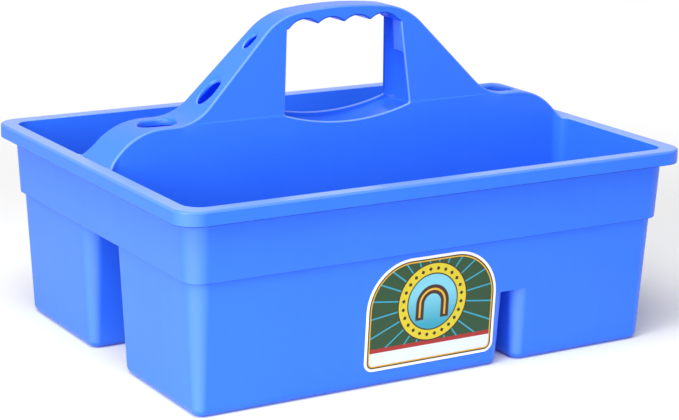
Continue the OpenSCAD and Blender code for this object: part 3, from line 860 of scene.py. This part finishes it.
def length(x, y):
    """Length of the vector with these two parts."""
    return calc("SQRT", calc("ADD", calc("MULTIPLY", x, x), calc("MULTIPLY", y, y)))


def printed(under, mask, colour):
    """One ink over what is printed under it, where a mask says."""
    ink = add_node(film_tree, "ShaderNodeMix", {"B": (*colour, 1)}, data_type="RGBA")
    film_tree.links.new(mask, ink.inputs["Factor"])
    if isinstance(under, tuple):
        ink.inputs["A"].default_value = (*under, 1)
    else:
        film_tree.links.new(under, ink.inputs["A"])
    return ink.outputs["Result"]


paper_white = (0.80, 0.80, 0.78)
ink_brown = (0.045, 0.018, 0.010)
ink_gold = (0.62, 0.36, 0.03)
ink_green = (0.018, 0.060, 0.022)
ink_teal = (0.030, 0.290, 0.400)
ink_sky = (0.180, 0.520, 0.640)
ink_yellow = (0.600, 0.490, 0.020)
ink_red = (0.330, 0.022, 0.018)
ink_panel = (0.640, 0.690, 0.740)

# Distances of the print in millimetres: in from the die cut, up from the label's middle, and out from the
# middle of the crest.
mm = 1000.0
brown_in, gold_in, field_in = 2.6, 3.8, 5.0
band_up, panel_up = -29.0, -33.0
crest_lift = 7.0
crest_out, medal_out, crest_line = 36.5, 26.6, 1.2
stud_out, stud_half, stud_spread = 30.6, 2.1, 8.2
ray_count, ray_half = 24, 2.6
shoe_out, shoe_half, groove_half = 13.0, 4.2, 1.0
shoe_drop, shoe_foot, groove_foot = 1.5, 16.0, 13.5
sky_low, sky_soft = -6.0, 30.0
to_mm = add_node(film_tree, "ShaderNodeMapping", {"Location": -mm * label_mid, "Scale": (mm, mm, mm)})
print_axes = add_node(film_tree, "ShaderNodeSeparateXYZ")
join(film_tree, (on_film, to_mm.inputs["Vector"]), (to_mm.outputs["Vector"], print_axes.inputs["Vector"]))
across_mm, up_mm = print_axes.outputs["X"], print_axes.outputs["Z"]
arch_mm, foot_mm = mm * label_arch_r, mm * label_foot_r
corner_mm = calc("MULTIPLY_ADD", calc("GREATER_THAN", up_mm, 0.0), arch_mm - foot_mm, foot_mm)
over = [calc("ADD", calc("SUBTRACT", calc("ABSOLUTE", part), float(mm * half)), corner_mm)
        for part, half in zip((across_mm, up_mm), label_half)]
cut_mm = calc("SUBTRACT", length(*[calc("MAXIMUM", part, 0.0) for part in over]), corner_mm)
cut_mm = calc("ADD", cut_mm, calc("MINIMUM", calc("MAXIMUM", *over), 0.0))
print_field = within(cut_mm, -field_in)
crest_up = calc("SUBTRACT", up_mm, crest_lift)
crest_down = calc("MULTIPLY", crest_up, -1.0)
crest_mm = length(across_mm, crest_up)
ray = calc("FRACT", calc("MULTIPLY", calc("ARCTAN2", crest_up, across_mm), ray_count / (2 * np.pi)))
off_ray = calc("ABSOLUTE", calc("SUBTRACT", ray, 0.5))
rays = within(calc("MULTIPLY", off_ray, crest_mm), ray_half)
off_stud_ring = calc("ABSOLUTE", calc("SUBTRACT", crest_mm, stud_out))
studs = calc("ADD", calc("MULTIPLY", off_ray, stud_spread), off_stud_ring)
medal = within(crest_mm, medal_out - crest_line)
shoe_up = calc("MAXIMUM", calc("ADD", crest_up, shoe_drop), 0.0)
shoe_mm = calc("ABSOLUTE", calc("SUBTRACT", length(across_mm, shoe_up), shoe_out))
inks = ((within(cut_mm, -brown_in), ink_brown), (within(cut_mm, -gold_in), ink_gold),
        (print_field, ink_green), (calc("MULTIPLY", print_field, rays), ink_teal),
        (calc("MULTIPLY", print_field, within(up_mm, band_up)), ink_red),
        (calc("MULTIPLY", print_field, within(up_mm, panel_up)), ink_panel),
        (within(crest_mm, crest_out), ink_brown), (within(crest_mm, crest_out - crest_line), ink_yellow),
        (within(studs, stud_half), ink_brown), (within(crest_mm, medal_out), ink_brown), (medal, ink_teal),
        (calc("MULTIPLY", medal, within(sky_low, crest_up, sky_soft)), ink_sky),
        (calc("MULTIPLY", within(shoe_mm, shoe_half), within(crest_down, shoe_foot)), ink_brown),
        (calc("MULTIPLY", within(shoe_mm, groove_half), within(crest_down, groove_foot)), ink_gold))
print_colour = paper_white
for mask, colour in inks:
    print_colour = printed(print_colour, mask, colour)
ink_grain = add_node(film_tree, "ShaderNodeTexNoise", {"Scale": 260.0, "Detail": 2.0})
ink_bump = add_node(film_tree, "ShaderNodeBump", {"Strength": 0.03, "Distance": 0.0003})
join(film_tree, (print_colour, film_shader.inputs["Base Color"]), (on_film, ink_grain.inputs["Vector"]),
     (ink_grain.outputs["Fac"], ink_bump.inputs["Height"]),
     (ink_bump.outputs["Normal"], film_shader.inputs["Normal"]))
make_piece("label", [label_rows], [label_rows[-1, :-1]], film, "label")

# Stage
# A pale floor that fades into a white backdrop, with broad soft lamps above, in front and at the left.
floor_half = 3.0
floor_white = (0.93, 0.93, 0.93, 1)
fade_from, fade_to = 0.42, 1.1
sky_level = 0.16
box_middle, tub_middle = (0, 0, 0.15), (0, 0, 0.12)
floor_mesh = bpy.data.meshes.new("floor")
floor_mesh.from_pydata([(-floor_half, -floor_half, 0), (floor_half, -floor_half, 0),
                        (floor_half, floor_half, 0), (-floor_half, floor_half, 0)], [], [(0, 1, 2, 3)])
floor = bpy.data.objects.new("floor", floor_mesh)
scene.collection.objects.link(floor)
floor_paint, floor_tree, floor_shader, on_floor = new_material("pale_floor")
floor_shader.inputs["Base Color"].default_value = floor_white
floor_shader.inputs["Roughness"].default_value = 0.9
floor_shader.inputs["Specular IOR Level"].default_value = 0.0
from_middle = add_node(floor_tree, "ShaderNodeVectorMath", operation="LENGTH")
fade = add_node(floor_tree, "ShaderNodeMapRange", {"From Min": fade_from, "From Max": fade_to},
                interpolation_type="SMOOTHSTEP")
clear = add_node(floor_tree, "ShaderNodeBsdfTransparent")
floor_blend = add_node(floor_tree, "ShaderNodeMixShader")
join(floor_tree, (on_floor, from_middle.inputs[0]), (from_middle.outputs["Value"], fade.inputs["Value"]),
     (fade.outputs["Result"], floor_blend.inputs["Fac"]), (floor_shader.outputs[0], floor_blend.inputs[1]),
     (clear.outputs[0], floor_blend.inputs[2]),
     (floor_blend.outputs[0], floor_tree.nodes["Material Output"].inputs["Surface"]))
floor_mesh.materials.append(floor_paint)

world = bpy.data.worlds.new("studio")
scene.world = world
world.use_nodes = True
world_tree = world.node_tree
light_path = add_node(world_tree, "ShaderNodeLightPath")
seen = add_node(world_tree, "ShaderNodeMath", operation="MAXIMUM")
seen_all = add_node(world_tree, "ShaderNodeMath", operation="MAXIMUM")
backdrop_level = add_node(world_tree, "ShaderNodeMapRange", {"To Min": sky_level, "To Max": 1.0})
background = world_tree.nodes["Background"]
background.inputs["Color"].default_value = (1, 1, 1, 1)
join(world_tree, (light_path.outputs["Is Camera Ray"], seen.inputs[0]),
     (light_path.outputs["Is Glossy Ray"], seen.inputs[1]), (seen.outputs[0], seen_all.inputs[0]),
     (light_path.outputs["Is Transmission Ray"], seen_all.inputs[1]),
     (seen_all.outputs[0], backdrop_level.inputs["Value"]),
     (backdrop_level.outputs["Result"], background.inputs["Strength"]))


def add_lamp(name, spot, target, size, power):
    """A square soft lamp that faces a point, its edges level."""
    lamp = bpy.data.lights.new(name, "AREA")
    lamp.size = size
    lamp.energy = power
    holder = bpy.data.objects.new(name, lamp)
    back = unit(*np.subtract(spot, target))
    side = unit(*np.cross([0, 0, 1], back))
    holder.matrix_world = standing(side, np.cross(back, side), back, spot)
    scene.collection.objects.link(holder)


add_lamp("top", (-0.3, -0.5, 2.0), box_middle, 2.0, 28)
add_lamp("high left", (-1.0, -0.7, 1.75), box_middle, 1.6, 28)
add_lamp("low left", (-2.0, -0.7, 0.55), tub_middle, 1.0, 35)
add_lamp("low front", (-0.2, -2.2, 0.58), tub_middle, 1.2, 16)
